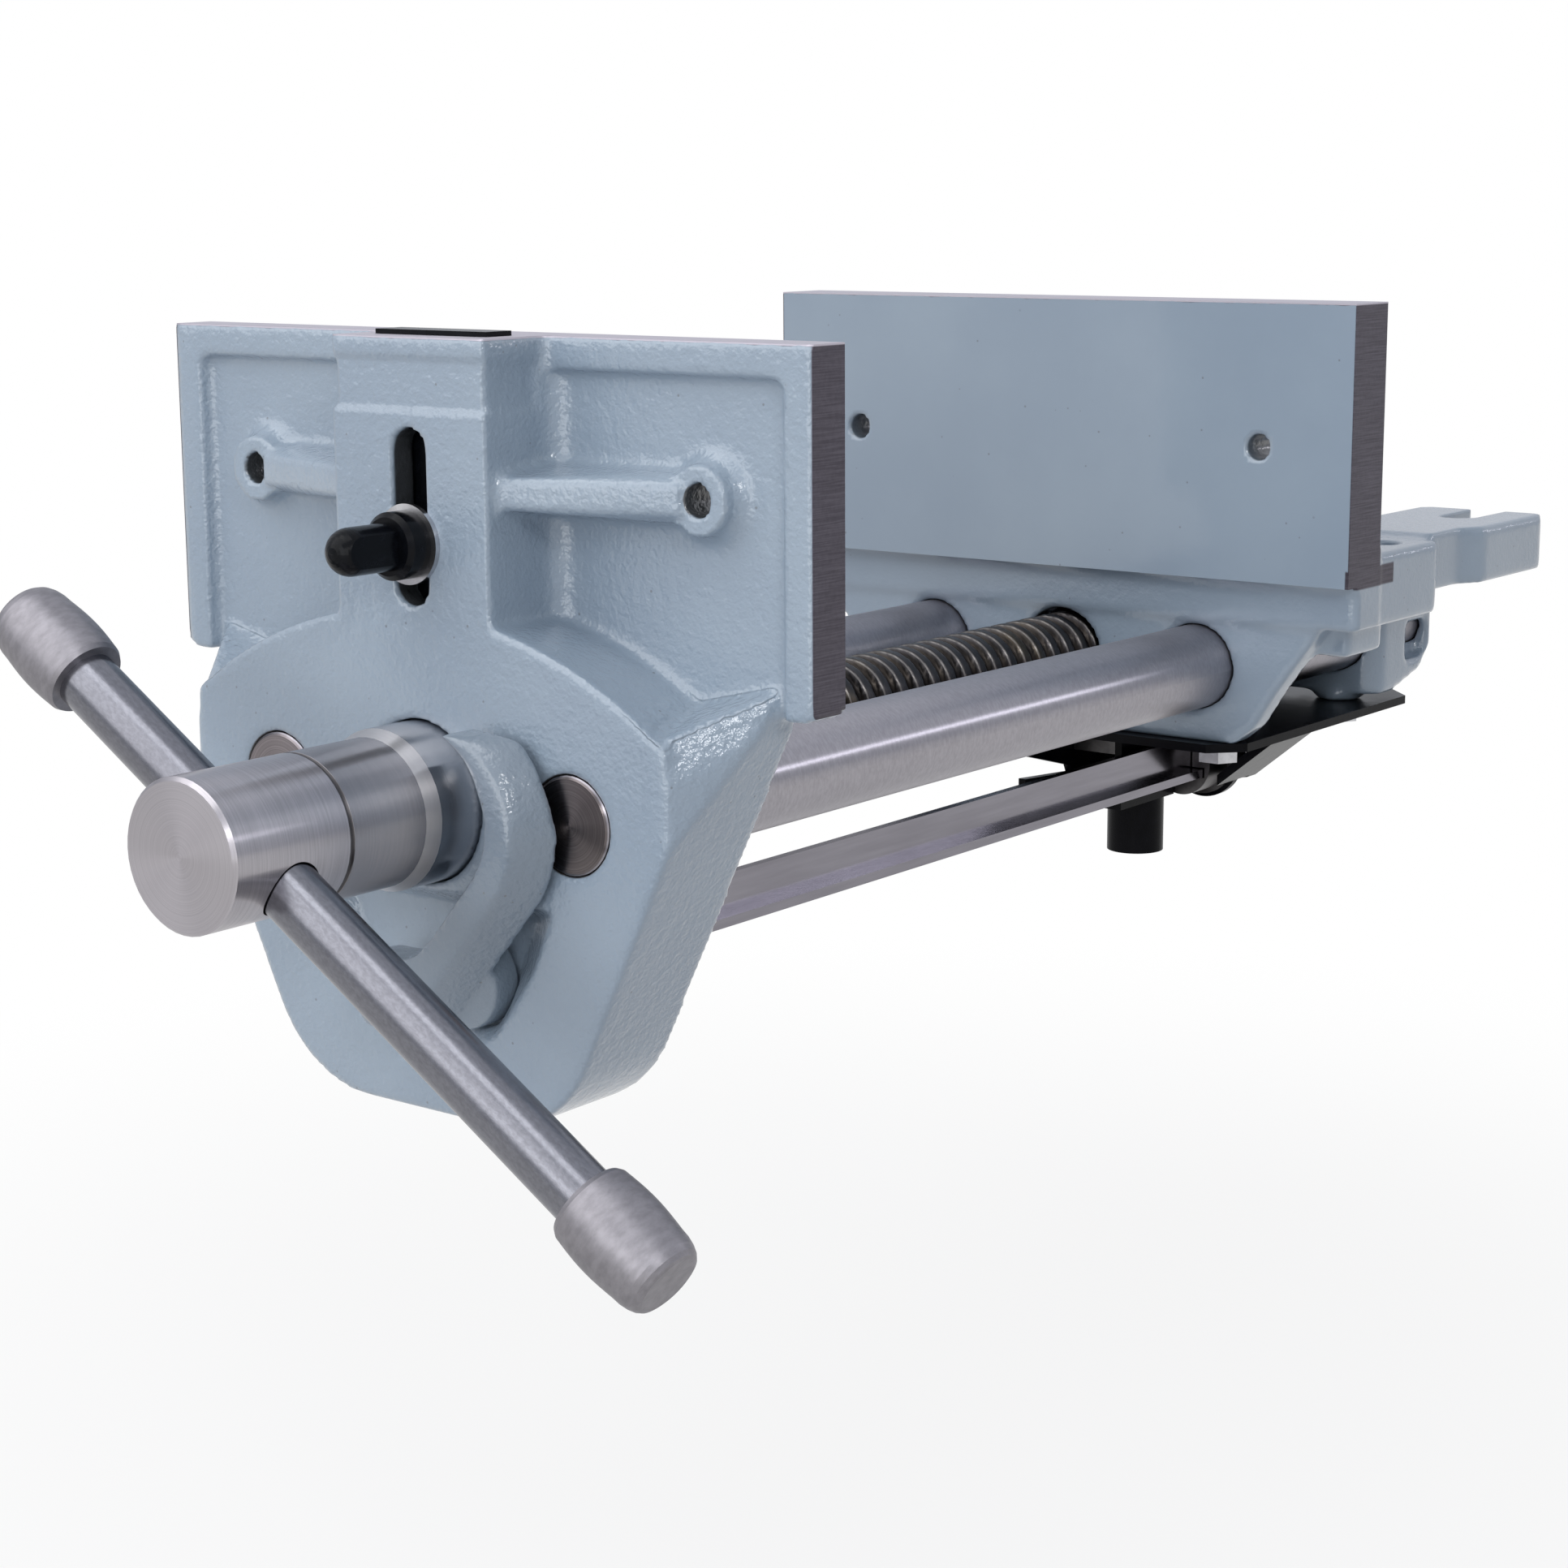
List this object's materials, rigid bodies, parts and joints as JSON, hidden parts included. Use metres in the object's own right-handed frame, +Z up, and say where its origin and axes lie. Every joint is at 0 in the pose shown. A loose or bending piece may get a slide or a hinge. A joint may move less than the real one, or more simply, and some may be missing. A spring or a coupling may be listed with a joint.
{
  "type": "quick-release woodworking vise",
  "caption": "Cast-iron woodworking bench vise with wide flat jaws, guide rods, a central screw with sliding handle, a quick-release lever and a pull-up bench dog",
  "frame": {"origin": "On the centre line, on the rear face of the fixed jaw plate, level with the bench seat: where the lower front edge of the bench goes", "axes": "+Y to the rear, under the bench, along the screw and rods; +Z up; +X to the right of someone who works at the vise and looks to the rear"},
  "size_m": [0.1987, 0.4298, 0.1693],
  "materials": {
    "enamel": "gloss",
    "ground_steel": "satin",
    "screw_steel": "oiled satin",
    "handle_steel": "satin",
    "spring_steel": "oiled",
    "dark_steel": "oiled",
    "black_steel": "blackened",
    "bright_zinc": "bright zinc",
    "black_paint": "gloss",
    "washer_brass": "satin",
    "dark_iron": "machined"
  },
  "bodies": {
    "fixed_side": {"rear_jaw_body": "enamel", "nut_bracket": "black_paint", "spring_cup": "black_paint", "bracket_bolts": "bright_zinc", "nut_spring": "spring_steel"},
    "moving_side": {"front_jaw": "enamel", "guide_rod_left": "ground_steel", "guide_rod_right": "ground_steel", "rod_stop_rings": "spring_steel", "thrust_washer": "washer_brass"},
    "screw": {"main_screw": "screw_steel", "screw_retaining_ring": "spring_steel"},
    "handle": {"handle_bar": "handle_steel", "handle_cap_upper": "handle_steel", "handle_cap_lower": "handle_steel"},
    "lever": {"release_lever": "enamel", "lever_clip": "spring_steel", "release_bar": "bright_zinc"},
    "cam": {"trip_cam": "dark_steel"},
    "nut": {"half_nut": "dark_iron", "nut_plunger": "dark_steel"},
    "dog": {"bench_dog": "black_steel", "dog_washer": "bright_zinc"},
    "dog_knob": {"dog_screw": "black_steel"}
  },
  "joints": [
    {"name": "jaw_slide", "type": "slide", "parent": "fixed_side", "child": "moving_side", "axis": [0, 1, 0], "range_m": [0, 0.213]},
    {"name": "screw_turn", "type": "hinge", "parent": "moving_side", "child": "screw", "pos_m": [0, -0.2605, -0.033], "axis": [0, 1, 0], "range_deg": [0, 10950]},
    {"name": "handle_slide", "type": "slide", "parent": "screw", "child": "handle", "axis": [0.8462, 0, -0.5329], "range_m": [-0.0875, 0.0365]},
    {"name": "lever_turn", "type": "hinge", "parent": "moving_side", "child": "lever", "pos_m": [0.0115, -0.26, -0.0695], "axis": [0, -1, 0], "range_deg": [0, 12], "stiffness_Nm_per_rad": 0.3, "springref_deg": -11.46},
    {"name": "trip_turn", "type": "hinge", "parent": "fixed_side", "child": "cam", "pos_m": [0.0115, 0.0445, -0.0695], "axis": [0, -1, 0], "range_deg": [0, 12.1]},
    {"name": "nut_drop", "type": "slide", "parent": "fixed_side", "child": "nut", "axis": [0, 0, -1], "range_m": [0, 0.0023], "deforming": ["nut_spring"]},
    {"name": "dog_slide", "type": "slide", "parent": "moving_side", "child": "dog", "axis": [0, 0, 1], "range_m": [-0.008, 0.019]},
    {"name": "dog_screw_turn", "type": "hinge", "parent": "dog", "child": "dog_knob", "pos_m": [0, -0.26, 0.0207], "axis": [0, -1, 0], "range_deg": [0, 360]}
  ],
  "couplings": [
    {"joint": "jaw_slide", "follows": "screw_turn", "m_per_rad": 0.0011141},
    {"joint": "trip_turn", "follows": "lever_turn", "ratio": 1},
    {"joint": "nut_drop", "follows": "lever_turn", "m_per_rad": 0.01098}
  ]
}
